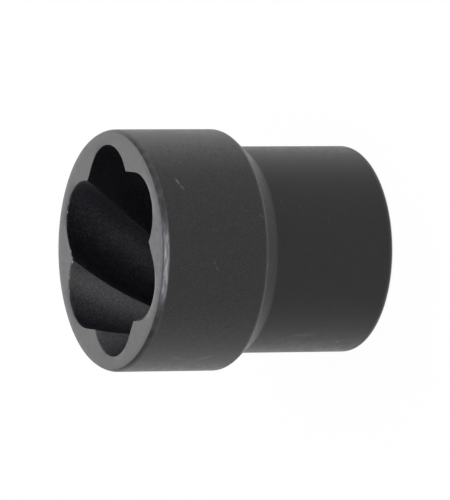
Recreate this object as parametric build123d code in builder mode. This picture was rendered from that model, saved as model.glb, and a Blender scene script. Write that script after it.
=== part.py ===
from build123d import *
import math
import os

# Extractor socket for rounded-off nuts and bolt heads, 19 mm size, machined from one piece of alloy
# steel. Six left-hand spiral flutes narrow towards the bottom of the mouth, so that the crests between
# them bite harder the more the socket is turned anticlockwise. A square hole takes the ratchet's drive
# square and runs through to the mouth, so that a freed nut can be knocked out from behind.
# The socket stands on its drive end: the origin is the centre of that face and +Z points up the axis,
# out of the mouth. One of the crests faces -Y on the mouth's face. Lengths are in millimetres and
# angles in degrees.

# Fluted mouth, measured on its face. Seen from above and taken anticlockwise, a flute is a round from
# its crest through its root, and then a flat flank up to the next crest. The root lies a small angle
# before the flute's middle, so the crests lean.
flute_count = 6
root_diameter = 24.5
flute_height = 2.25
root_lead = 2.0
flute_depth = 15.5
flute_lead = 80.0
crest_taper = 4.4
floor_land = 0.3
floor_cone_angle = 60.0

# Turned outside, with the walls it leaves behind the flutes at the mouth and at their floor
overall_length = 30.8
head_length = 13.2
shoulder_length = 2.5
head_wall = 1.75
shank_wall = 1.2
head_back_radius = 0.85
shoulder_root_radius = 0.2
drive_end_radius = 0.9

# Outer edge of the mouth: a round that leaves the head's side smoothly and is cut off by the face
mouth_edge_width = 0.3
mouth_edge_height = 0.8

# Drive square
drive_square = 9.65
drive_corner_radius = 0.4
drive_lead_in = 1.1
detent_height = 5.6
detent_ball_radius = 1.9
detent_depth = 0.9

# Worked out from the sizes above
flute_pitch = 360 / flute_count
root_angle = flute_pitch / 2 - root_lead
root_radius = root_diameter / 2
crest_radius = root_radius - flute_height
taper_slope = math.tan(math.radians(crest_taper))
floor_scale = 1 - flute_depth * taper_slope / crest_radius
floor_height = overall_length - flute_depth
floor_cone_radius = crest_radius * floor_scale - floor_land
head_radius = root_radius + head_wall
head_back_height = overall_length - head_length
shank_radius = root_radius * floor_scale + shank_wall
shoulder_foot_height = head_back_height - shoulder_length
lead_in_radius = drive_square / 2 + drive_lead_in

# The flutes are drawn on sections evenly spaced along the axis, the first of them above the face
section_count = 9
overrun = 1.0


def polar_point(radius, angle):
    """A point of the XY plane by its radius and its angle in degrees."""
    return (radius * math.cos(math.radians(angle)), radius * math.sin(math.radians(angle)))


def corner_at(sketch, point):
    """The corner of a sketch that lies nearest to a point."""
    return sketch.vertices().sort_by_distance(point)[0]


def outer_line(lines):
    """Of some lines, the one that begins farthest from the axis."""
    return lines.sort_by(lambda line: (line @ 0).length)[-1]


with BuildPart() as screw_extractor:
    # Head, conical shoulder and shank, turned about the axis
    with BuildSketch(Plane.XZ) as turned_profile:
        with BuildLine():
            mouth_edge = TangentArc(
                (head_radius, overall_length - mouth_edge_height),
                (head_radius - mouth_edge_width, overall_length),
                tangent=(0, 1),
            )
            Polyline(
                mouth_edge @ 1,
                (0, overall_length),
                (0, 0),
                (shank_radius, 0),
                (shank_radius, shoulder_foot_height),
                (head_radius, head_back_height),
                mouth_edge @ 0,
            )
        make_face()
        fillet(corner_at(turned_profile, (shank_radius, 0)), drive_end_radius)
        fillet(corner_at(turned_profile, (shank_radius, shoulder_foot_height)), shoulder_root_radius)
        fillet(corner_at(turned_profile, (head_radius, head_back_height)), head_back_radius)
    revolve(axis=Axis.Z)

    # Spiral flutes, lofted through sections that shrink with depth from just above the mouth's face
    # down to the floor. Looking into the mouth they turn anticlockwise with depth: a left-hand spiral.
    for section in range(section_count):
        depth = -overrun + (flute_depth + overrun) * section / (section_count - 1)
        turn = 360 * depth / flute_lead
        scale = 1 - depth * taper_slope / crest_radius
        with BuildSketch(Plane.XY.offset(overall_length - depth).rotated((0, 0, turn))):
            with BuildLine():
                for flute in range(flute_count):
                    start = (flute - 0.5) * flute_pitch
                    crest = polar_point(scale * crest_radius, start)
                    root = polar_point(scale * root_radius, start + root_angle)
                    past_root = polar_point(scale * crest_radius, start + 2 * root_angle)
                    next_crest = polar_point(scale * crest_radius, start + flute_pitch)
                    whole_round = ThreePointArc(crest, root, past_root, mode=Mode.PRIVATE)
                    flank = ConstrainedLines(whole_round, next_crest, selector=outer_line)
                    ThreePointArc(crest, root, flank @ 0)
            make_face()
    loft(mode=Mode.SUBTRACT)

    # Conical floor of the mouth, inside a narrow flat land at the crests' feet
    with BuildSketch(Plane.XZ):
        with BuildLine():
            Polyline(
                (0, floor_height),
                (floor_cone_radius, floor_height),
                (0, floor_height - floor_cone_radius / math.tan(math.radians(floor_cone_angle))),
                close=True,
            )
        make_face()
    revolve(axis=Axis.Z, mode=Mode.SUBTRACT)

    # Broached drive square, from the drive end through into the floor of the mouth
    with BuildSketch(Plane.XY):
        RectangleRounded(drive_square, drive_square, drive_corner_radius)
    extrude(amount=floor_height, mode=Mode.SUBTRACT)

    # Countersink that leads the ratchet's square in
    with BuildSketch(Plane.XZ):
        with BuildLine():
            Polyline((0, 0), (lead_in_radius, 0), (0, lead_in_radius), close=True)
        make_face()
    revolve(axis=Axis.Z, mode=Mode.SUBTRACT)

    # Ring groove across the square's flats, which the ratchet's ball clicks into
    with BuildSketch(Plane.XZ):
        with Locations((drive_square / 2 + detent_depth - detent_ball_radius, detent_height)):
            Circle(detent_ball_radius)
    revolve(axis=Axis.Z, mode=Mode.SUBTRACT)

os.makedirs("parts", exist_ok=True)
screw_extractor.part.label = "screw_extractor"
export_step(screw_extractor.part, "parts/screw_extractor.step")
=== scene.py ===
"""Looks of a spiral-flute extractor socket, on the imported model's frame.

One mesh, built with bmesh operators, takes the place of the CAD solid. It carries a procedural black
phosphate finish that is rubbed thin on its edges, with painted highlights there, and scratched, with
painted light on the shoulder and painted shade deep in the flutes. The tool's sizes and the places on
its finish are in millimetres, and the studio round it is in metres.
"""

import logging
import math
import random
from collections.abc import Iterable, Mapping, Sequence
from dataclasses import dataclass, field
from enum import Enum

import bmesh
import bpy
from mathutils import Matrix, Quaternion, Vector


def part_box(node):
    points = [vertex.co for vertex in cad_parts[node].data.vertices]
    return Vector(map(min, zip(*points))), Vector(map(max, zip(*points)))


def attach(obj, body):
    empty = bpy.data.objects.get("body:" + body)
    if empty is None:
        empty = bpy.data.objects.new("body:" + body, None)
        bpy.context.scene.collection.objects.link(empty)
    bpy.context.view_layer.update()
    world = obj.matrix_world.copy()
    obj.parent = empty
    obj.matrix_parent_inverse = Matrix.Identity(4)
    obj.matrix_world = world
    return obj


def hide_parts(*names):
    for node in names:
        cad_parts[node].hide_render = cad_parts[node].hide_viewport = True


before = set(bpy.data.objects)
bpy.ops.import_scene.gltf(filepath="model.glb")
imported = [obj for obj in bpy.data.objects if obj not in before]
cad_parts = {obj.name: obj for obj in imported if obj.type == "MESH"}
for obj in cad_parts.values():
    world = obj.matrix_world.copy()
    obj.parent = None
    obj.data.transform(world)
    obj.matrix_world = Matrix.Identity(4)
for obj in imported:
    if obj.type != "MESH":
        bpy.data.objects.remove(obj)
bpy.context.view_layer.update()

LOG = logging.getLogger("extractor_socket")

MM = 0.001
NODE = "screw_extractor"
BODY = "root"

Color = tuple[float, float, float, float]
Span = tuple[float, float]
Value = "float | Sequence[float] | Signal"
Settings = Mapping[str, object] | None
Inputs = Mapping[int | str, Value] | None
Edges = list[bmesh.types.BMEdge]

WHITE: Color = (1.0, 1.0, 1.0, 1.0)
# A lighter coat: painted light from below on the shoulder's cone, and lighter patches on the head's sides
LIGHTER_COAT: Color = (0.1, 0.0945, 0.0915, 1.0)


class Cut(Enum):
    """How a noise is cut into patches: its values where a patch begins and where it is full."""

    FAINT = (0.25, 0.75)
    SOFT = (0.3, 0.7)
    EVEN = (0.35, 0.65)
    WIDE = (0.3, 0.55)
    LARGE = (0.35, 0.6)
    CLEAR = (0.4, 0.6)
    SMALL = (0.4, 0.65)
    SPARSE = (0.52, 0.75)
    RARE = (0.55, 0.63)


@dataclass(frozen=True)
class Signal:
    """A shader socket that adds Math nodes to its tree when it is used in Python arithmetic."""

    tree: "ShaderTree"
    socket: bpy.types.NodeSocket

    def math(self, operation: str, *others: "float | Signal") -> "Signal":
        """The result of one more Math node, on this and then the others."""
        inputs = dict(enumerate((self, *others)))
        return self.tree.signal("ShaderNodeMath", {"operation": operation}, inputs)

    def __add__(self, other: "float | Signal") -> "Signal":
        """This plus other."""
        return self.math("ADD", other)

    __radd__ = __add__

    def __sub__(self, other: "float | Signal") -> "Signal":
        """This less other."""
        return self.math("SUBTRACT", other)

    def __rsub__(self, other: float) -> "Signal":
        """Other less this."""
        return self.math("MULTIPLY_ADD", -1.0, other)

    def __mul__(self, other: "float | Signal") -> "Signal":
        """This times other."""
        return self.math("MULTIPLY", other)

    __rmul__ = __mul__

    def __truediv__(self, other: "float | Signal") -> "Signal":
        """This over other."""
        return self.math("DIVIDE", other)

    def __pow__(self, power: float) -> "Signal":
        """This raised to a power."""
        return self.math("POWER", power)

    def sine(self) -> "Signal":
        """The sine of this angle, in radians."""
        return self.math("SINE")

    def angle_over(self, adjacent: "float | Signal") -> "Signal":
        """The angle in radians whose opposite side is this, over an adjacent side."""
        return self.math("ARCTAN2", adjacent)

    def larger(self, other: "float | Signal") -> "Signal":
        """The larger of this and other."""
        return self.math("MAXIMUM", other)

    def between(self, low: float, high: float) -> "Signal":
        """This brought from 0 and 1 to low and high."""
        return self.math("MULTIPLY_ADD", high - low, low)

    def patches(self, cut: Cut) -> "Signal":
        """This noise cut into patches: 1 on them, and 0 between them."""
        return self.step(*cut.value)

    def step(self, start: float, end: float) -> "Signal":
        """A smooth step.

        Args:
            start: The value at which the result is 0.
            end: The value at which the result is 1, above or below start.

        Returns:
            The step, between 0 and 1.
        """
        return self.tree.signal(
            "ShaderNodeMapRange",
            {"interpolation_type": "SMOOTHSTEP"},
            {"Value": self, "From Min": start, "From Max": end, "To Min": 0.0, "To Max": 1.0},
        )

    def band(self, start: float, end: float, fade: float) -> "Signal":
        """A band that is 1 from start to end, and fades out to 0 over the fade on both sides."""
        return self.step(start - fade, start) * self.step(end + fade, end)


class ShaderTree:
    """A node tree that grows by one node a call."""

    def __init__(self, owner: bpy.types.Material | bpy.types.World) -> None:
        """Takes over an owner's nodes, and empties them.

        Args:
            owner: The material or the world that is shaded.
        """
        owner.use_nodes = True
        self.tree = owner.node_tree
        self.tree.nodes.clear()

    def node(self, kind: str, settings: Settings = None, inputs: Inputs = None) -> bpy.types.Node:
        """Adds a node, sets it up and then fills or links its inputs.

        Args:
            kind: The node's type.
            settings: Its properties.
            inputs: Values or signals by the place, identifier or name of their socket.

        Returns:
            The node.
        """
        node = self.tree.nodes.new(kind)
        for name, setting in (settings or {}).items():
            setattr(node, name, setting)
        for key, value in (inputs or {}).items():
            socket = self._socket(node.inputs, key)
            if isinstance(value, Signal):
                self.tree.links.new(value.socket, socket)
            else:
                socket.default_value = value
        return node

    def signal(
        self, kind: str, settings: Settings = None, inputs: Inputs = None, output: int | str = 0
    ) -> Signal:
        """Adds a node as node does, and gives the output of a place, identifier or name."""
        node = self.node(kind, settings, inputs)
        return Signal(self, self._socket(node.outputs, output))

    def split(self, vector: Signal) -> tuple[Signal, Signal, Signal]:
        """The three parts of a vector."""
        x, y, z = self.node("ShaderNodeSeparateXYZ", {}, {0: vector}).outputs
        return Signal(self, x), Signal(self, y), Signal(self, z)

    def mix(self, factor: Value, low: Value, high: Value) -> Signal:
        """Mixes two colours.

        Args:
            factor: How much of the second colour is in the mix, from 0 to 1.
            low: The first colour.
            high: The second colour.

        Returns:
            The mix.
        """
        return self.signal(
            "ShaderNodeMix",
            {"data_type": "RGBA"},
            {"Factor_Float": factor, "A_Color": low, "B_Color": high},
            "Result_Color",
        )

    def noise(self, place: Signal, per_mm: float, detail: float = 2.0) -> Signal:
        """Noise, about 0.5 on average, with so many bumps to a millimetre and layers of finer detail."""
        return self.signal("ShaderNodeTexNoise", {}, {"Vector": place, "Scale": per_mm, "Detail": detail})

    @staticmethod
    def _socket(sockets: Iterable[bpy.types.NodeSocket], key: int | str) -> bpy.types.NodeSocket:
        """Finds a socket.

        Args:
            sockets: A node's inputs or outputs.
            key: The socket's place, or its identifier or name.

        Returns:
            The first socket that fits.
        """
        if isinstance(key, int):
            return sockets[key]
        return next(socket for socket in sockets if key in (socket.identifier, socket.name))


class Zone(Enum):
    """The cylinders that marks lie on."""

    HEAD = "head"
    SHANK = "shank"


@dataclass
class ExtractorSocket:
    """The tool: a turned body with six spiral flutes in its mouth and a square hole in its drive end.

    Its sizes are in millimetres and degrees, and the mesh is brought to metres when it is complete. Seen
    from above and taken anticlockwise, a flute is a round from its crest through its root, and then a
    flat flank up to the next crest. The root lies a little before the flute's middle.
    """

    head_radius: float
    overall_length: float

    flute_count: int = 6
    head_wall: float = 1.75
    flute_height: float = 2.25
    root_lead: float = 2.0
    flute_depth: float = 15.5
    flute_lead: float = 80.0
    crest_taper: float = 4.4
    crest_rounding: float = 0.12
    lip_bevel: float = 0.06

    head_length: float = 13.2
    shoulder_length: float = 2.5
    shank_wall: float = 1.2
    mouth_edge_width: float = 0.3
    mouth_edge_height: float = 0.8
    head_back_radius: float = 0.85
    shoulder_root_radius: float = 0.2
    drive_end_radius: float = 0.9

    floor_land: float = 0.3
    floor_cone_angle: float = 60.0
    drive_square: float = 9.65
    drive_corner_radius: float = 0.4
    drive_lead_in: float = 1.1
    detent_height: float = 5.6
    detent_ball_radius: float = 1.9
    detent_depth: float = 0.9

    round_steps: int = 24
    flank_steps: int = 4
    crest_steps: int = 4
    lip_steps: int = 4
    edge_steps: int = 10
    back_steps: int = 6
    shoulder_steps: int = 3
    drive_end_steps: int = 8
    wall_rows: int = 40
    drive_corner_steps: int = 6
    detent_row: float = 0.1
    weld: float = 0.0005
    sharp_angle: float = 28.0

    shape: bmesh.types.BMesh = field(init=False, repr=False, default_factory=bmesh.new)

    @property
    def root_radius(self) -> float:
        """The radius of the flutes' roots on the mouth's face."""
        return self.head_radius - self.head_wall

    @property
    def crest_radius(self) -> float:
        """The radius of the crests on the mouth's face."""
        return self.root_radius - self.flute_height

    @property
    def taper_slope(self) -> float:
        """How much the crests' radius loses for each unit of depth."""
        return math.tan(math.radians(self.crest_taper))

    @property
    def flute_pitch(self) -> float:
        """The angle from one flute to the next, in radians."""
        return math.tau / self.flute_count

    @property
    def root_angle(self) -> float:
        """The angle from a flute's first crest to its root, in radians."""
        return self.flute_pitch / 2 - math.radians(self.root_lead)

    @property
    def round_centre(self) -> float:
        """How far the centre of a flute's round lies from the axis, on the way to the flute's root."""
        across = self.root_radius - self.crest_radius * math.cos(self.root_angle)
        return (self.root_radius**2 - self.crest_radius**2) / (2 * across)

    @property
    def round_radius(self) -> float:
        """The radius of a flute's round on the mouth's face."""
        return self.root_radius - self.round_centre

    @property
    def round_start(self) -> float:
        """Where the round leaves its first crest: the angle about its centre, counted from the root."""
        out = self.crest_radius * math.cos(self.root_angle) - self.round_centre
        return -math.atan2(self.crest_radius * math.sin(self.root_angle), out)

    @property
    def round_end(self) -> float:
        """Where the round runs into the flat flank that leads to the next crest, counted as its start."""
        to_crest = self.flute_pitch - self.root_angle
        out = self.crest_radius * math.cos(to_crest) - self.round_centre
        aside = self.crest_radius * math.sin(to_crest)
        return math.atan2(aside, out) - math.acos(self.round_radius / math.hypot(out, aside))

    @property
    def mouth_edge_radius(self) -> float:
        """The radius of the head's outer edge, which the mouth's face cuts off."""
        return (self.mouth_edge_width**2 + self.mouth_edge_height**2) / (2 * self.mouth_edge_width)

    @property
    def mouth_edge_turn(self) -> float:
        """How far the outer edge turns from the head's side before the face cuts it off, in radians."""
        return math.asin(self.mouth_edge_height / self.mouth_edge_radius)

    @property
    def floor_height(self) -> float:
        """The height of the flutes' floor above the drive end."""
        return self.overall_length - self.flute_depth

    @property
    def floor_cone_radius(self) -> float:
        """The radius of the cone in the mouth's floor, a land inside the crests."""
        return self.crest_radius * self.scale_at(self.flute_depth) - self.floor_land

    @property
    def head_back_height(self) -> float:
        """The height of the corner behind the head."""
        return self.overall_length - self.head_length

    @property
    def shoulder_foot_height(self) -> float:
        """The height at which the conical shoulder meets the shank."""
        return self.head_back_height - self.shoulder_length

    @property
    def shank_radius(self) -> float:
        """The radius of the shank, a wall outside the flutes at their floor."""
        return self.root_radius * self.scale_at(self.flute_depth) + self.shank_wall

    @property
    def shoulder_slope(self) -> float:
        """The angle between the conical shoulder and the axis, in radians."""
        return math.atan2(self.head_radius - self.shank_radius, self.shoulder_length)

    @property
    def lead_in_radius(self) -> float:
        """The radius of the drive square's lead-in on the drive end's face."""
        return self.drive_square / 2 + self.drive_lead_in

    @property
    def ring_steps(self) -> int:
        """How many vertices every ring of the mesh has."""
        return self.flute_count * (self.round_steps + self.flank_steps + self.crest_steps)

    def scale_at(self, depth: float) -> float:
        """The flutes' size at a depth below the mouth's face, as a share of their size on the face."""
        return 1 - depth * self.taper_slope / self.crest_radius

    def zone_radius(self, zone: Zone) -> float:
        """The radius of a cylinder that marks lie on."""
        return self.head_radius if zone is Zone.HEAD else self.shank_radius

    def build(self) -> bpy.types.Object:
        """Models the tool.

        Returns:
            The finished object, at the origin.
        """
        rim, drive_face = self._turn_outside()
        mouth = self._draw_mouth()
        self._bridge(rim + mouth)
        wall_foot = self._twist_flutes(mouth)
        floor_circle = self._face_floor(wall_foot)
        square = self._draw_square()
        self._bridge(floor_circle + square)
        lead_in = self._broach_square(square)
        self._bridge(lead_in + drive_face)
        self._bevel(mouth, self.lip_bevel, self.lip_steps, "EDGES")
        bmesh.ops.remove_doubles(self.shape, verts=self.shape.verts[:], dist=self.weld)
        bmesh.ops.recalc_face_normals(self.shape, faces=self.shape.faces[:])
        bmesh.ops.scale(self.shape, vec=(MM, MM, MM), verts=self.shape.verts[:])
        return self._finish()

    def _turn_outside(self) -> tuple[Edges, Edges]:
        """Turns the outside, from a ring on the rim round to a ring on the drive end's face.

        Returns:
            The edges of the ring on the rim, and of the ring on the drive end's face.
        """
        edge_foot = Vector((self.head_radius, 0.0, self.overall_length - self.mouth_edge_height))
        edge_centre = edge_foot - Vector((self.mouth_edge_radius, 0.0, 0.0))
        foot = self.shape.verts.new(edge_foot)
        tip = self._spin([foot], edge_centre, self.mouth_edge_turn, self.edge_steps, axis=(0, -1, 0))[0]
        rim_ring, back, shoulder_foot, drive_end, face_ring = (
            self.shape.verts.new((radius, 0.0, height))
            for radius, height in (
                ((self.root_radius + tip.co.x) / 2, self.overall_length),
                (self.head_radius, self.head_back_height),
                (self.shank_radius, self.shoulder_foot_height),
                (self.shank_radius, 0.0),
                ((self.lead_in_radius + self.shank_radius) / 2, 0.0),
            )
        )
        self.shape.edges.new((rim_ring, tip))
        outside = (foot, back, shoulder_foot, drive_end, face_ring)
        for pair in zip(outside, outside[1:]):
            self.shape.edges.new(pair)
        self._round([tip], self.lip_bevel, self.lip_steps)
        self._round([back], self.head_back_radius, self.back_steps)
        self._round([shoulder_foot], self.shoulder_root_radius, self.shoulder_steps)
        self._round([drive_end], self.drive_end_radius, self.drive_end_steps)
        profile = self.shape.verts[:] + self.shape.edges[:]
        self._spin(profile, Vector(), math.tau, self.ring_steps, use_merge=True)
        rings = [edge for edge in self.shape.edges if edge.is_boundary]
        middle = self.overall_length / 2
        rim = [edge for edge in rings if edge.verts[0].co.z > middle]
        return rim, [edge for edge in rings if edge.verts[0].co.z < middle]

    def _draw_mouth(self) -> Edges:
        """Draws the mouth's outline on its face: six flutes, with a small round on each crest.

        Returns:
            The outline's edges.
        """
        to_crest = Matrix.Rotation(-self.flute_pitch / 2, 3, "Z")
        crest = to_crest @ Vector((self.crest_radius, 0.0, self.overall_length))
        to_root = to_crest @ Matrix.Rotation(self.root_angle, 3, "Z")
        centre = to_root @ Vector((self.round_centre, 0.0, 0.0))
        sweep = self.round_end - self.round_start
        flank_start = self._spin([self.shape.verts.new(crest)], centre, sweep, self.round_steps)
        flank = bmesh.ops.extrude_vert_indiv(self.shape, verts=flank_start)
        flank["verts"][0].co = Matrix.Rotation(self.flute_pitch, 3, "Z") @ crest
        bmesh.ops.subdivide_edges(self.shape, edges=flank["edges"], cuts=self.flank_steps - 1)
        flute = self._loose(self.shape.verts) + self._loose(self.shape.edges)
        self._spin(flute, Vector(), math.tau, self.flute_count, use_duplicate=True)
        bmesh.ops.remove_doubles(self.shape, verts=self._loose(self.shape.verts), dist=self.weld)
        crests = [
            vert
            for vert in self._loose(self.shape.verts)
            if abs(vert.co.xy.length - self.crest_radius) < self.weld
        ]
        self._round(crests, self.crest_rounding, self.crest_steps)
        return self._loose(self.shape.edges)

    def _twist_flutes(self, mouth: Edges) -> Edges:
        """Draws the mouth's outline down into the flutes' walls, turning and shrinking it row by row.

        Args:
            mouth: The outline on the mouth's face.

        Returns:
            The edges of the walls' last row, on the floor.
        """
        row_depth = self.flute_depth / self.wall_rows
        sink = Matrix.Translation((0.0, 0.0, -row_depth))
        turn = Matrix.Rotation(math.tau * row_depth / self.flute_lead, 4, "Z")
        edges = mouth
        for row in range(self.wall_rows):
            shrink = self.scale_at((row + 1) * row_depth) / self.scale_at(row * row_depth)
            edges = self._extrude(edges)
            step = sink @ turn @ Matrix.Diagonal((shrink, shrink, 1.0, 1.0))
            bmesh.ops.transform(self.shape, matrix=step, verts=self._ends(edges), space=Matrix.Identity(4))
        return edges

    def _face_floor(self, wall_foot: Edges) -> Edges:
        """Closes the flutes' feet with a flat land, in to the circle where the floor's cone begins.

        Args:
            wall_foot: The flute walls' last row.

        Returns:
            The edges of the circle.
        """
        edges = self._extrude(wall_foot)
        for vert in self._ends(edges):
            vert.co.xy = vert.co.xy.normalized() * self.floor_cone_radius
        return edges

    def _draw_square(self) -> Edges:
        """Draws the drive square's rounded outline where it comes out in the floor's cone.

        Returns:
            The outline's edges.
        """
        corners = bmesh.ops.create_circle(
            self.shape,
            cap_ends=False,
            segments=4,
            radius=self.drive_square / math.sqrt(2),
            matrix=Matrix.Rotation(math.pi / 4, 4, "Z"),
        )["verts"]
        self._round(corners, self.drive_corner_radius, self.drive_corner_steps)
        half = self.drive_square / 2
        flats = [edge for edge in self._loose(self.shape.edges) if edge.calc_length() > half]
        flat_steps = self.ring_steps // 4 - self.drive_corner_steps
        bmesh.ops.subdivide_edges(self.shape, edges=flats, cuts=flat_steps - 1)
        outline = self._loose(self.shape.edges)
        slope = 1 / math.tan(math.radians(self.floor_cone_angle))
        for vert in self._ends(outline):
            vert.co.z = self.floor_height - (self.floor_cone_radius - vert.co.xy.length) * slope
        return outline

    def _broach_square(self, outline: Edges) -> Edges:
        """Draws the square down to the drive end, with its ring groove and its lead-in.

        Args:
            outline: The square's outline on the floor's cone.

        Returns:
            The edges of the lead-in's ring on the drive end's face.
        """
        groove_centre = self.drive_square / 2 + self.detent_depth - self.detent_ball_radius
        half_width = math.sqrt(self.detent_ball_radius**2 - (self.drive_square / 2 - groove_centre) ** 2)
        rows = round(2 * half_width / self.detent_row)
        edges = outline
        grooved = []
        for row in range(rows + 1):
            above = half_width * (1 - 2 * row / rows)
            edges = self._extrude(edges)
            for vert in self._ends(edges):
                vert.co.z = self.detent_height + above
                grooved.append(vert)
        edges = self._extrude(edges)
        for vert in self._ends(edges):
            vert.co.z = max(0.0, self.lead_in_radius - vert.co.xy.length)
        edges = self._extrude(edges)
        for vert in self._ends(edges):
            vert.co.z = 0.0
            vert.co.xy = vert.co.xy.normalized() * max(self.lead_in_radius, vert.co.xy.length)
        for vert in grooved:
            above = vert.co.z - self.detent_height
            groove_radius = groove_centre + math.sqrt(self.detent_ball_radius**2 - above**2)
            along, across = (0, 1) if abs(vert.co.x) > abs(vert.co.y) else (1, 0)
            reach = math.sqrt(max(0.0, groove_radius**2 - vert.co[across] ** 2))
            vert.co[along] = math.copysign(max(abs(vert.co[along]), reach), vert.co[along])
        return edges

    def _finish(self) -> bpy.types.Object:
        """Makes the object, with smooth shading that keeps its sharp corners.

        Returns:
            The object.
        """
        mesh = bpy.data.meshes.new("extractor_socket")
        self.shape.to_mesh(mesh)
        self.shape.free()
        mesh.shade_smooth()
        mesh.set_sharp_from_angle(angle=math.radians(self.sharp_angle))
        piece = bpy.data.objects.new("extractor_socket", mesh)
        bpy.context.scene.collection.objects.link(piece)
        flattening = piece.modifiers.new("flat_faces", "WEIGHTED_NORMAL")
        flattening.keep_sharp = True
        return piece

    def _spin(self, what: list, centre: Vector, angle: float, steps: int, **options: object) -> list:
        """Spins vertices and edges about a line, which runs along Z unless the options give its axis.

        Args:
            what: The vertices and edges.
            centre: A point of the line.
            angle: How far they turn, in radians.
            steps: In how many steps.
            **options: Further options of the operator.

        Returns:
            What the last step made.
        """
        options = {"axis": (0, 0, 1), **options}
        spun = bmesh.ops.spin(self.shape, geom=what, cent=centre, angle=angle, steps=steps, **options)
        return spun["geom_last"]

    def _round(self, corners: Iterable[bmesh.types.BMVert], radius: float, steps: int) -> None:
        """Rounds corners of an outline.

        Args:
            corners: The corners' vertices.
            radius: The rounds' radius.
            steps: How many pieces each round has.
        """
        for corner in corners:
            here, there = (edge.other_vert(corner).co - corner.co for edge in corner.link_edges)
            slide = radius / math.tan(here.angle(there) / 2)
            self._bevel([corner], slide, steps, "VERTICES")

    def _bevel(self, what: list, slide: float, steps: int, affect: str) -> None:
        """Bevels vertices of an outline, or edges of a surface, into rounds.

        Args:
            what: The vertices or edges.
            slide: How far from them each round begins.
            steps: How many pieces a round has.
            affect: VERTICES or EDGES.
        """
        bmesh.ops.bevel(
            self.shape,
            geom=what,
            offset=slide,
            offset_type="OFFSET",
            segments=steps,
            profile=0.5,
            affect=affect,
            material=-1,
        )

    def _bridge(self, edges: Edges) -> None:
        """Joins two rings of edges by faces, once the faces beside them agree on which side is out."""
        bmesh.ops.recalc_face_normals(self.shape, faces=self.shape.faces[:])
        bmesh.ops.bridge_loops(self.shape, edges=edges)

    def _extrude(self, edges: Edges) -> Edges:
        """Extrudes a loop of edges in place.

        Args:
            edges: The loop.

        Returns:
            The new loop.
        """
        made = bmesh.ops.extrude_edge_only(self.shape, edges=edges)["geom"]
        ends = {item for item in made if isinstance(item, bmesh.types.BMVert)}
        drawn = (item for item in made if isinstance(item, bmesh.types.BMEdge))
        return [edge for edge in drawn if ends.issuperset(edge.verts)]

    @staticmethod
    def _loose(items: Iterable) -> list:
        """The vertices or edges that no face uses yet."""
        return [item for item in items if item.is_wire]

    @staticmethod
    def _ends(edges: Edges) -> list[bmesh.types.BMVert]:
        """The vertices at the ends of some edges, each once."""
        return list({vert for edge in edges for vert in edge.verts})


# Where the bored finish fades in, in millimetres: inwards past the flutes' roots, up from the drive
# end's face, and down from the mouth's face
BORED_PAST_ROOTS: Span = (0.3, 0.25)
BORED_ABOVE_DRIVE_END: Span = (0.02, 0.1)
BORED_BELOW_MOUTH: Span = (0.005, 0.05)


class Surface:
    """The surface that a finish is laid on, in millimetres and radians.

    Attributes:
        tree: The material's tree.
        tool: The sizes.
        point: A point of the surface.
        radius: Its distance from the axis.
        facing: Its angle about the axis, from -Y towards +X.
        sideways: The sine of that angle.
        height: Its height above the drive end.
        depth: Its depth below the mouth's face.
        unrolled: Its place on the unrolled outside: the arc from -Y towards +X, and the height.
        mouth_turn: The way that the mouth's outer edge faces: 0 outwards, and more the higher it is.
        back_turn: The way that the rounded corner behind the head faces: 0 outwards, and then downwards.
        above_crest: How far it lies outside the crests, on the mouth's scale.
        bored: 1 on the surfaces of the mouth and the drive square, and 0 elsewhere.
        outside: 1 where it isn't bored.
        cloud: A coarse noise, about 0.5 on average, as the next two are.
        mottle: A noise with blotches of about a millimetre.
        grain: A noise for the coat's crystals.
        sparkle: Small bright crystals: 0 between them.
    """

    def __init__(self, tree: ShaderTree, tool: ExtractorSocket) -> None:
        """Works everything out from a piece's Object coordinates.

        Args:
            tree: The material's tree.
            tool: The sizes.
        """
        self.tree = tree
        self.tool = tool
        metres = tree.signal("ShaderNodeTexCoord", output="Object")
        to_mm = {0: metres, "Scale": 1 / MM}
        self.point = tree.signal("ShaderNodeVectorMath", {"operation": "SCALE"}, to_mm)
        x, y, self.height = tree.split(self.point)
        self.radius = (x * x + y * y) ** 0.5
        self.facing = x.angle_over(y * -1.0)
        self.sideways = self.facing.sine()
        self.depth = tool.overall_length - self.height
        arc = self.radius * self.facing
        self.unrolled = tree.signal("ShaderNodeCombineXYZ", {}, {0: arc, 1: self.height})
        mouth_axis = tool.head_radius - tool.mouth_edge_radius
        self.mouth_turn = (tool.mouth_edge_height - self.depth).angle_over(self.radius - mouth_axis)
        back_axis = tool.head_radius - tool.head_back_radius
        back_start = tool.head_back_height + tool.head_back_radius * math.tan(tool.shoulder_slope / 2)
        self.back_turn = (back_start - self.height).angle_over(self.radius - back_axis)
        on_face = self.radius / (1 - self.depth * (tool.taper_slope / tool.crest_radius))
        self.above_crest = on_face - tool.crest_radius
        in_walls = (on_face - tool.root_radius).step(*BORED_PAST_ROOTS)
        off_faces = self.height.step(*BORED_ABOVE_DRIVE_END) * self.depth.step(*BORED_BELOW_MOUTH)
        self.bored = in_walls * off_faces
        self.outside = 1 - self.bored
        self.cloud = tree.noise(self.point, per_mm=0.35, detail=3.0)
        self.mottle = tree.noise(self.point, per_mm=1.1, detail=3.0)
        self.grain = tree.noise(self.point, per_mm=3.2)
        self.sparkle = tree.noise(self.point, per_mm=7.5, detail=0.0).patches(Cut.SPARSE)


class Tint(Enum):
    """The colours of the marks on the coat."""

    PALE = (0.085, 0.083, 0.08, 1.0)
    STRAW = (0.19, 0.17, 0.135, 1.0)
    ROSE = (0.057, 0.035, 0.035, 1.0)
    RUST = (0.2, 0.075, 0.03, 1.0)


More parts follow.
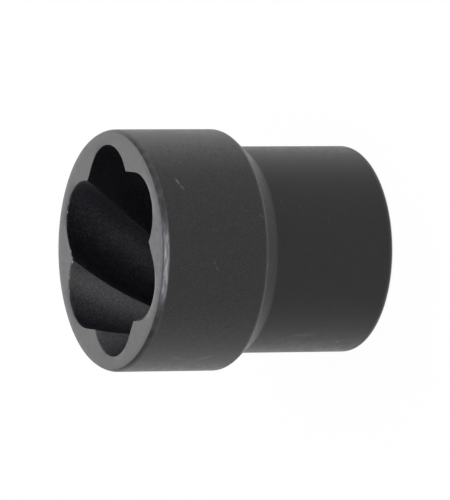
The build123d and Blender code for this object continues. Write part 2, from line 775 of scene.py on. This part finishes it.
@dataclass(frozen=True)
class Mark:
    """A straight scratch, a speck or a broad smudge on the turned outside.

    An end is an angle in degrees, from the crest that faces -Y towards +X, and a height in millimetres.
    The core is the share of the mark that has its full strength.
    """

    zone: Zone
    start: Span
    end: Span
    width: float = 0.16
    strength: float = 0.7
    tint: Tint = Tint.PALE
    core: float = 0.3

    def paint(self, on: Surface, color: Signal) -> Signal:
        """Lays the mark over a colour. It fades at its sides and ends.

        Args:
            on: The surface.
            color: The colour under it.

        Returns:
            The new colour.
        """
        around = on.tool.zone_radius(self.zone)
        start, end = (
            Vector((math.radians(angle) * around, height)) for angle, height in (self.start, self.end)
        )
        middle = (start + end) / 2
        along = end - start
        local = on.tree.signal(
            "ShaderNodeMapping",
            {"vector_type": "TEXTURE"},
            {
                "Vector": on.unrolled,
                "Location": (middle.x, middle.y, 0.0),
                "Rotation": (0.0, 0.0, math.atan2(along.y, along.x)),
                "Scale": ((along.length + self.width) / 2, self.width / 2, 1.0),
            },
        )
        off = on.tree.signal("ShaderNodeVectorMath", {"operation": "LENGTH"}, {0: local}, "Value")
        cover = self.strength * off.step(1.0, self.core) * on.outside
        return on.tree.mix(cover, color, self.tint.value)


def seen_marks() -> tuple[Mark, ...]:
    """Lists the marks on the side that faces -Y, each where the real tool has it.

    Returns:
        The marks.
    """
    return (
        Mark(Zone.HEAD, (43.1, 27.53), (40.3, 27.54), strength=0.4),
        Mark(Zone.HEAD, (40.6, 26.65), (39.0, 26.57)),
        Mark(Zone.HEAD, (30.4, 27.99), (26.6, 27.68), width=0.24, tint=Tint.STRAW),
        Mark(Zone.HEAD, (26.6, 27.68), (24.0, 27.25), strength=0.6, tint=Tint.STRAW),
        Mark(Zone.HEAD, (-10.6, 24.46), (-12.7, 24.22), strength=0.6),
        Mark(Zone.HEAD, (-12.7, 24.22), (-15.7, 23.75), strength=0.45),
        Mark(Zone.HEAD, (4.1, 25.58), (4.1, 25.5), tint=Tint.ROSE),
        Mark(Zone.HEAD, (-50.6, 27.64), (-46.3, 27.17), strength=0.4),
        Mark(Zone.HEAD, (11.5, 18.29), (9.2, 17.79), strength=0.5),
        Mark(Zone.HEAD, (-12.8, 16.6), (-12.6, 16.54), width=0.3, strength=1.0, tint=Tint.RUST),
        Mark(Zone.SHANK, (22.2, 14.12), (20.6, 13.95), strength=0.5),
        Mark(Zone.SHANK, (19.7, 11.92), (17.1, 11.72), strength=0.4),
        Mark(Zone.SHANK, (-69.6, 4.5), (-69.9, 3.8), width=0.24, strength=1.0, tint=Tint.RUST),
        Mark(Zone.SHANK, (-65.7, 12.14), (-65.7, 12.06)),
        Mark(Zone.SHANK, (-41.6, 6.85), (-41.6, 6.77), strength=0.5),
        Mark(Zone.SHANK, (-42.7, 3.39), (-42.7, 3.31), strength=0.5),
        Mark(Zone.HEAD, (-66.9, 26.3), (-70.0, 24.5), width=0.9, strength=0.35),
        Mark(Zone.HEAD, (-70.4, 22.8), (-66.4, 21.1), width=1.1, strength=0.4),
        Mark(Zone.HEAD, (-77.0, 18.2), (-71.2, 16.3), width=0.8, strength=0.35),
        Mark(Zone.HEAD, (71.3, 23.9), (67.2, 18.8), width=1.2, strength=0.35),
        Mark(Zone.HEAD, (67.0, 17.8), (56.0, 16.2), width=1.0, strength=0.35),
        Mark(Zone.SHANK, (-62.5, 11.0), (-60.8, 7.5), width=1.0, strength=0.25),
    )


@dataclass(frozen=True)
class StrewnMarks:
    """Scratches of the same kind, strewn over the sides that face away from -Y.

    Angles are in degrees, and lengths in millimetres. Past the seam, the angles skip a gap and count
    from the other side.
    """

    count: int = 16
    seed: int = 19
    angles: Span = (85.0, 265.0)
    seam: float = 170.0
    seam_gap: float = 5.0
    edge_margin: float = 1.5
    foot_margin: float = 1.0
    turn: float = 3.0
    rise: float = 0.6
    strengths: Span = (0.2, 0.7)

    def draw(self, tool: ExtractorSocket) -> tuple[Mark, ...]:
        """Draws the marks.

        Args:
            tool: The sizes.

        Returns:
            The marks, the same ones each time.
        """
        chance = random.Random(self.seed)
        heights = {
            Zone.HEAD: (tool.head_back_height + self.edge_margin, tool.overall_length - self.edge_margin),
            Zone.SHANK: (self.edge_margin, tool.shoulder_foot_height - self.foot_margin),
        }
        marks = []
        for _ in range(self.count):
            zone = chance.choice(list(Zone))
            angle = chance.uniform(*self.angles)
            angle = angle if angle < self.seam else angle + self.seam_gap - 360.0
            height = chance.uniform(*heights[zone])
            end_angle = angle + chance.uniform(-self.turn, self.turn)
            end = (end_angle, height + chance.uniform(-self.rise, self.rise))
            marks.append(Mark(zone, (angle, height), end, strength=chance.uniform(*self.strengths)))
        return tuple(marks)


@dataclass(frozen=True)
class Coat:
    """The coat's colours: speckled outside, darker on the shank, violet on the rim and bluish inside, with
    painted light on the shoulder's cone and painted shade deep in the flutes.

    A share is the most that a colour covers, and a least is how much of it is left between the patches.
    Fades and spans are in millimetres, but the rim's colour ends at a share of the outer edge's turn and
    fades there in radians.
    """

    brown: Color = (0.009, 0.0081, 0.0077, 1.0)
    green: Color = (0.0069, 0.0075, 0.0073, 1.0)
    pale: Color = (0.028, 0.0275, 0.028, 1.0)
    grain_share: float = 0.4
    sparkle_share: float = 0.8

    shank: Color = (0.0047, 0.0047, 0.005, 1.0)
    shank_share: float = 0.8
    shank_fade: float = 0.2
    # The lighter coat on the shoulder's cone is painted light from below
    cone_light_share: float = 0.3
    cone_fade: float = 0.4

    rim: Color = (0.053, 0.0508, 0.0595, 1.0)
    rim_face: Span = (0.03, 0.01)
    rim_edge: float = 0.95
    rim_edge_fade: float = 0.1
    rim_least: float = 0.3
    rim_side_loss: float = 0.8

    bore: Color = (0.0015, 0.0015, 0.0016, 1.0)
    bore_grain: Color = (0.009, 0.0088, 0.0105, 1.0)
    bore_crystals: Color = (0.038, 0.037, 0.06, 1.0)
    bore_shade_depths: Span = (9.0, 15.0)

    def paint(self, on: Surface) -> Signal:
        """Mixes the coat's colours.

        Args:
            on: The surface.

        Returns:
            The colour.
        """
        tree, tool = on.tree, on.tool
        color = tree.mix(on.cloud.patches(Cut.EVEN), self.brown, self.green)
        grain = self.grain_share * on.grain.patches(Cut.SOFT)
        color = tree.mix(grain.larger(self.sparkle_share * on.sparkle), color, self.pale)
        foot = tool.shoulder_foot_height
        on_shank = on.height.step(foot + self.shank_fade, foot)
        color = tree.mix(self.shank_share * on_shank, color, self.shank)
        # Painted light: the shoulder's cone, which faces down towards the floor, is lightened as if lit
        # from below
        fade = self.cone_fade
        on_cone = on.height.band(foot + fade, tool.head_back_height - fade / 2, fade)
        color = tree.mix(self.cone_light_share * on_cone, color, LIGHTER_COAT)
        fade = self.rim_edge_fade
        on_edge = on.mouth_turn.band(fade, self.rim_edge * tool.mouth_edge_turn, fade)
        on_rim = on.depth.step(*self.rim_face).larger(on_edge)
        blotches = on.mottle.patches(Cut.EVEN).between(self.rim_least, 1.0)
        to_sides = 1 - self.rim_side_loss * (on.sideways * on.sideways)
        color = tree.mix(on_rim * blotches * to_sides, color, self.rim)
        inside = tree.mix(on.grain.patches(Cut.FAINT), self.bore, self.bore_grain)
        inside = tree.mix(on.sparkle, inside, self.bore_crystals)
        # Painted shade: deep in the flutes, the grain and crystals fade into the bore's darkest colour
        inside = tree.mix(on.depth.step(*self.bore_shade_depths), inside, self.bore)
        return tree.mix(on.bored, color, inside)


@dataclass(frozen=True)
class Wear:
    """Dust, lighter sides, worn edges with painted highlights, and rust and chips on the mouth's lip.

    Shares and leasts are as for Coat, and the line's mottle and grain each give its least and its most.
    Lengths are in millimetres, turns and the line's fade in radians, and angles in degrees. The lighter
    sides are given by their sines, and the line behind the head, a painted highlight broken into worn
    spots, starts at a share of the shoulder's slope. The dust's reach is in cells of its pattern, and its
    odds are the random numbers from which a cell has a speck and a full one.
    """

    dust: Color = (0.06, 0.057, 0.054, 1.0)
    dust_share: float = 0.4
    dust_per_mm: float = 0.9
    dust_reach: Span = (0.11, 0.05)
    dust_odds: Span = (0.7, 0.95)

    lighter_sides_share: float = 0.6
    lighter_sides_sines: Span = (0.5, 0.94)
    lighter_sides_minus_x: float = 0.4
    lighter_sides_shank: float = 0.4
    lighter_sides_least: float = 0.15
    lighter_sides_mottle: float = 0.45
    lighter_sides_grain: float = 0.5
    head_margin: float = 0.6
    head_fade: float = 0.4

    # The line behind the head: a painted highlight, broken into worn spots
    line: Color = (0.12, 0.113, 0.104, 1.0)
    line_start: float = 0.75
    line_fade: float = 0.08
    line_mottle: Span = (0.4, 1.0)
    line_grain: Span = (0.3, 0.9)

    # A painted highlight on the mouth's outer edge, in streaks of polished wear
    polished_highlight: Color = (0.3, 0.29, 0.32, 1.0)
    highlight_turns: Span = (0.25, 0.5)
    highlight_turn_fade: float = 0.2
    highlight_angles: Span = (-21.0, -4.0)
    highlight_angle_fade: float = 15.0
    highlight_least: float = 0.35
    streaks_along: float = 0.7
    streaks_across: float = 5.0

    rust: Color = (0.1, 0.065, 0.05, 1.0)
    rust_on_crests: float = 0.12
    rust_on_lip: float = 0.6
    crest_reach: Span = (0.1, 0.02)
    lip_reach: Span = (0.16, 0.08)
    bare: Color = (0.45, 0.43, 0.42, 1.0)
    chip_angles: Span = (140.0, 155.0)

    def paint(self, on: Surface, color: Signal) -> Signal:
        """Lays the dust and the wear over a colour.

        Args:
            on: The surface.
            color: The colour under them.

        Returns:
            The new colour.
        """
        tree = on.tree
        cells = tree.node("ShaderNodeTexVoronoi", {}, {"Vector": on.point, "Scale": self.dust_per_mm})
        near = Signal(tree, cells.outputs["Distance"]).step(*self.dust_reach)
        lot, _, _ = tree.split(Signal(tree, cells.outputs["Color"]))
        specks = self.dust_share * near * lot.step(*self.dust_odds)
        color = tree.mix(specks * on.outside, color, self.dust)
        # Lighter patches on the sides, most on the head towards +X
        color = tree.mix(self._lighter_sides(on) * on.outside, color, LIGHTER_COAT)
        # Painted highlight: a bright line where the corner behind the head turns from its side towards the
        # shoulder, broken into worn spots
        slope = on.tool.shoulder_slope
        line = on.back_turn.band(self.line_start * slope, slope, self.line_fade) * on.outside
        line = line * on.mottle.patches(Cut.CLEAR).between(*self.line_mottle)
        line = line * on.grain.patches(Cut.EVEN).between(*self.line_grain)
        color = tree.mix(line, color, self.line)
        # Painted highlight on the mouth's outer edge, where it faces a little towards -X
        color = tree.mix(self._polished_highlight(on) * on.outside, color, self.polished_highlight)
        crest = on.bored * on.above_crest.step(*self.crest_reach)
        lip = on.bored * on.depth.step(*self.lip_reach)
        rust = (self.rust_on_crests * crest).larger(self.rust_on_lip * lip)
        color = tree.mix(rust * on.mottle.patches(Cut.WIDE), color, self.rust)
        start, full = (math.radians(angle) ** 2 for angle in self.chip_angles)
        chips = (on.facing * on.facing).step(start, full) * on.mottle.patches(Cut.RARE)
        return tree.mix(lip * chips, color, self.bare)

    def _lighter_sides(self, on: Surface) -> Signal:
        """How much lighter the sides are, most on the head towards +X.

        Args:
            on: The surface.

        Returns:
            The lighter patches' share.
        """
        start, full = self.lighter_sides_sines
        sides = on.sideways.step(start, full) + self.lighter_sides_minus_x * on.sideways.step(-start, -full)
        head_top = on.tool.overall_length - self.head_margin
        on_head = on.height.band(on.tool.head_back_height, head_top, self.head_fade)
        blotches = self.lighter_sides_least + self.lighter_sides_mottle * on.mottle.patches(Cut.LARGE)
        blotches = blotches + self.lighter_sides_grain * on.grain.patches(Cut.SMALL)
        return self.lighter_sides_share * sides * blotches * on_head.between(self.lighter_sides_shank, 1.0)

    def _polished_highlight(self, on: Surface) -> Signal:
        """How much painted highlight lies on the mouth's outer edge, in streaks of polished wear along it.

        Args:
            on: The surface.

        Returns:
            The painted highlight's share.
        """
        along = self.streaks_along * on.radius * on.facing
        across = self.streaks_across * on.mouth_turn
        place = on.tree.signal("ShaderNodeCombineXYZ", {}, {0: along, 1: across})
        streaks = on.tree.noise(place, per_mm=1.0).patches(Cut.EVEN).between(self.highlight_least, 1.0)
        start, end, fade = (math.radians(angle) for angle in (*self.highlight_angles, self.highlight_angle_fade))
        on_edge = on.mouth_turn.band(*self.highlight_turns, self.highlight_turn_fade)
        return on_edge * on.facing.band(start, end, fade) * streaks


@dataclass(frozen=True)
class BlackPhosphate:
    """Matt black phosphate on steel, rubbed thin and scratched, with a film of oil in the bore.

    The oil is given as its least and most, and a relief is the height of a noise's bumps in millimetres.
    The colour also holds painted highlights on worn edges, painted light on the shoulder and painted
    shade deep in the flutes.
    """

    coat: Coat = Coat()
    wear: Wear = Wear()
    roughness: float = 0.42
    roughness_spread: float = 0.25
    specular: float = 0.4
    bore_oil: Span = (0.384, 0.576)
    oil_roughness: float = 0.42
    grain_relief: float = 0.009
    bore_relief: float = 0.015
    mottle_relief: float = 0.01

    def dress(self, piece: bpy.types.Object, tool: ExtractorSocket, marks: Iterable[Mark]) -> None:
        """Gives the piece this finish.

        Args:
            piece: The tool's object.
            tool: The sizes that the finish follows.
            marks: The marks on the outside.
        """
        material = bpy.data.materials.new("black_phosphate")
        tree = ShaderTree(material)
        on = Surface(tree, tool)
        color = self.coat.paint(on)
        for mark in marks:
            color = mark.paint(on, color)
        relief = on.bored.between(self.grain_relief, self.bore_relief) * on.grain
        relief = relief + self.mottle_relief * on.mottle
        bump = {"Strength": 1.0, "Distance": MM, "Height": relief}
        shader = tree.signal(
            "ShaderNodeBsdfPrincipled",
            {},
            {
                "Base Color": self.wear.paint(on, color),
                "Roughness": self.roughness + self.roughness_spread * (on.mottle + on.grain - 1.0),
                "Specular IOR Level": self.specular,
                "Coat Weight": on.bored * on.grain.patches(Cut.SOFT).between(*self.bore_oil),
                "Coat Roughness": self.oil_roughness,
                "Normal": tree.signal("ShaderNodeBump", {}, bump),
            },
        )
        tree.node("ShaderNodeOutputMaterial", {}, {"Surface": shader})
        piece.data.materials.append(material)


def direction(azimuth: float, elevation: float) -> Vector:
    """The direction, of length 1, at an azimuth from -Y towards +X and an elevation, in degrees."""
    turn, rise = math.radians(azimuth), math.radians(elevation)
    return Vector((math.sin(turn) * math.cos(rise), -math.cos(turn) * math.cos(rise), math.sin(rise)))


@dataclass(frozen=True)
class Glow:
    """A soft round patch of light in the surround, as a studio lamp or a lit wall gives.

    Its angles are as for direction.
    """

    azimuth: float
    elevation: float
    level: float
    tightness: float = 22.0

    def seen(self, tree: ShaderTree, gaze: Signal) -> Signal:
        """How bright the patch is in a direction.

        Args:
            tree: The world's tree.
            gaze: The direction, of length 1.

        Returns:
            The level in the patch's middle, and less the farther the direction is from there.
        """
        ends = {0: gaze, 1: direction(self.azimuth, self.elevation)}
        toward = tree.signal("ShaderNodeVectorMath", {"operation": "DOT_PRODUCT"}, ends, "Value")
        return self.level * ((toward - 1.0) * self.tightness).math("EXPONENT")


@dataclass(frozen=True)
class Viewpoint:
    """The camera, by the angles in degrees and the distance from which it looks at a point of the tool."""

    aim: tuple[float, float, float] = (-0.00003, 0.0, 0.01597)
    azimuth: float = -5.584
    elevation: float = 26.795
    roll: float = -90.478
    distance: float = 1.2576
    lens: float = 780.8

    def place(self) -> None:
        """Adds the camera and makes it the scene's."""
        back = direction(self.azimuth, self.elevation)
        camera = bpy.data.cameras.new("camera")
        camera.lens = self.lens
        holder = bpy.data.objects.new("camera", camera)
        holder.location = Vector(self.aim) + self.distance * back
        turn = back.to_track_quat("Z", "Y") @ Quaternion((0.0, 0.0, 1.0), math.radians(self.roll))
        holder.rotation_euler = turn.to_euler()
        bpy.context.scene.collection.objects.link(holder)
        bpy.context.scene.camera = holder


@dataclass(frozen=True)
class Studio:
    """The plain white studio: a pale floor, and a dim surround with soft patches of light.

    The floor doesn't glow within its covered radius, so that no light comes up through the tool.
    """

    floor_size: float = 3.0
    floor_drop: float = 0.00002
    floor_color: Color = (0.85, 0.85, 0.85, 1.0)
    floor_glow: float = 0.97
    covered_radius: float = 0.0115
    covered_fade: float = 0.0005
    dim_level: float = 0.2
    glows: tuple[Glow, ...] = (
        Glow(0.0, 70.0, 0.22),
        Glow(60.0, 70.0, 2.79),
        Glow(18.0, 50.0, 2.18),
        Glow(54.0, 50.0, 0.57),
        Glow(126.0, 50.0, 2.03),
        Glow(270.0, 50.0, 0.49),
        Glow(306.0, 50.0, 1.77),
        Glow(342.0, 50.0, 0.38),
        Glow(128.6, 30.0, 0.49),
        Glow(154.3, 30.0, 0.83),
        Glow(180.0, 30.0, 0.55),
        Glow(205.7, 30.0, 1.16),
        Glow(334.3, 30.0, 1.09),
        Glow(146.2, 10.0, 0.65),
        Glow(168.8, 10.0, 1.86),
        Glow(191.2, 10.0, 1.12),
        Glow(67.5, -8.0, 3.79),
        Glow(135.0, -8.0, 1.88),
        Glow(180.0, -8.0, 1.11),
    )

    def build(self) -> None:
        """Adds everything round the tool."""
        self._lay_floor()
        self._fill_surround()
        bpy.context.scene.view_settings.view_transform = "Standard"

    def _lay_floor(self) -> None:
        """Lays the floor, which looks white and still takes a little of the tool's shadow."""
        shape = bmesh.new()
        bmesh.ops.create_grid(
            shape,
            x_segments=1,
            y_segments=1,
            size=self.floor_size / 2,
            matrix=Matrix.Translation((0.0, 0.0, -self.floor_drop)),
        )
        mesh = bpy.data.meshes.new("floor")
        shape.to_mesh(mesh)
        shape.free()
        floor = bpy.data.objects.new("floor", mesh)
        bpy.context.scene.collection.objects.link(floor)
        material = bpy.data.materials.new("white_floor")
        tree = ShaderTree(material)
        matt = tree.signal("ShaderNodeBsdfDiffuse", {}, {"Color": self.floor_color})
        glow = tree.signal("ShaderNodeEmission", {}, {"Color": WHITE, "Strength": 1.0})
        place = tree.signal("ShaderNodeTexCoord", output="Object")
        away = tree.signal("ShaderNodeVectorMath", {"operation": "LENGTH"}, {0: place}, "Value")
        open_floor = away.step(self.covered_radius - self.covered_fade, self.covered_radius)
        camera, reflected, refracted = (
            tree.signal("ShaderNodeLightPath", output=f"Is {ray} Ray")
            for ray in ("Camera", "Glossy", "Transmission")
        )
        share = camera.larger(reflected).larger(refracted) * open_floor * self.floor_glow
        mixed = tree.signal("ShaderNodeMixShader", {}, {0: share, 1: matt, 2: glow})
        tree.node("ShaderNodeOutputMaterial", {}, {"Surface": mixed})
        mesh.materials.append(material)

    def _fill_surround(self) -> None:
        """Fills the surround with the patches of light, where the camera itself sees plain white."""
        world = bpy.data.worlds.new("surround")
        bpy.context.scene.world = world
        tree = ShaderTree(world)
        gaze = tree.signal("ShaderNodeTexCoord", output="Generated")
        light = sum((glow.seen(tree, gaze) for glow in self.glows), start=self.dim_level)
        camera = tree.signal("ShaderNodeLightPath", output="Is Camera Ray")
        level = camera + light * (1 - camera)
        white = tree.signal("ShaderNodeBackground", {}, {"Color": WHITE, "Strength": level})
        tree.node("ShaderNodeOutputWorld", {}, {"Surface": white})


def main() -> None:
    """Builds the tool and the studio."""
    logging.basicConfig(level=logging.INFO, format="%(name)s: %(message)s")
    _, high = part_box(NODE)
    tool = ExtractorSocket(head_radius=high.x / MM, overall_length=high.z / MM)
    piece = tool.build()
    BlackPhosphate().dress(piece, tool, seen_marks() + StrewnMarks().draw(tool))
    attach(piece, BODY)
    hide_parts(NODE)
    LOG.info("%s: %d faces, in place of %s", piece.name, len(piece.data.polygons), NODE)

    Studio().build()
    Viewpoint().place()
    LOG.info("studio and camera are in place")


if __name__ == "__main__":
    main()
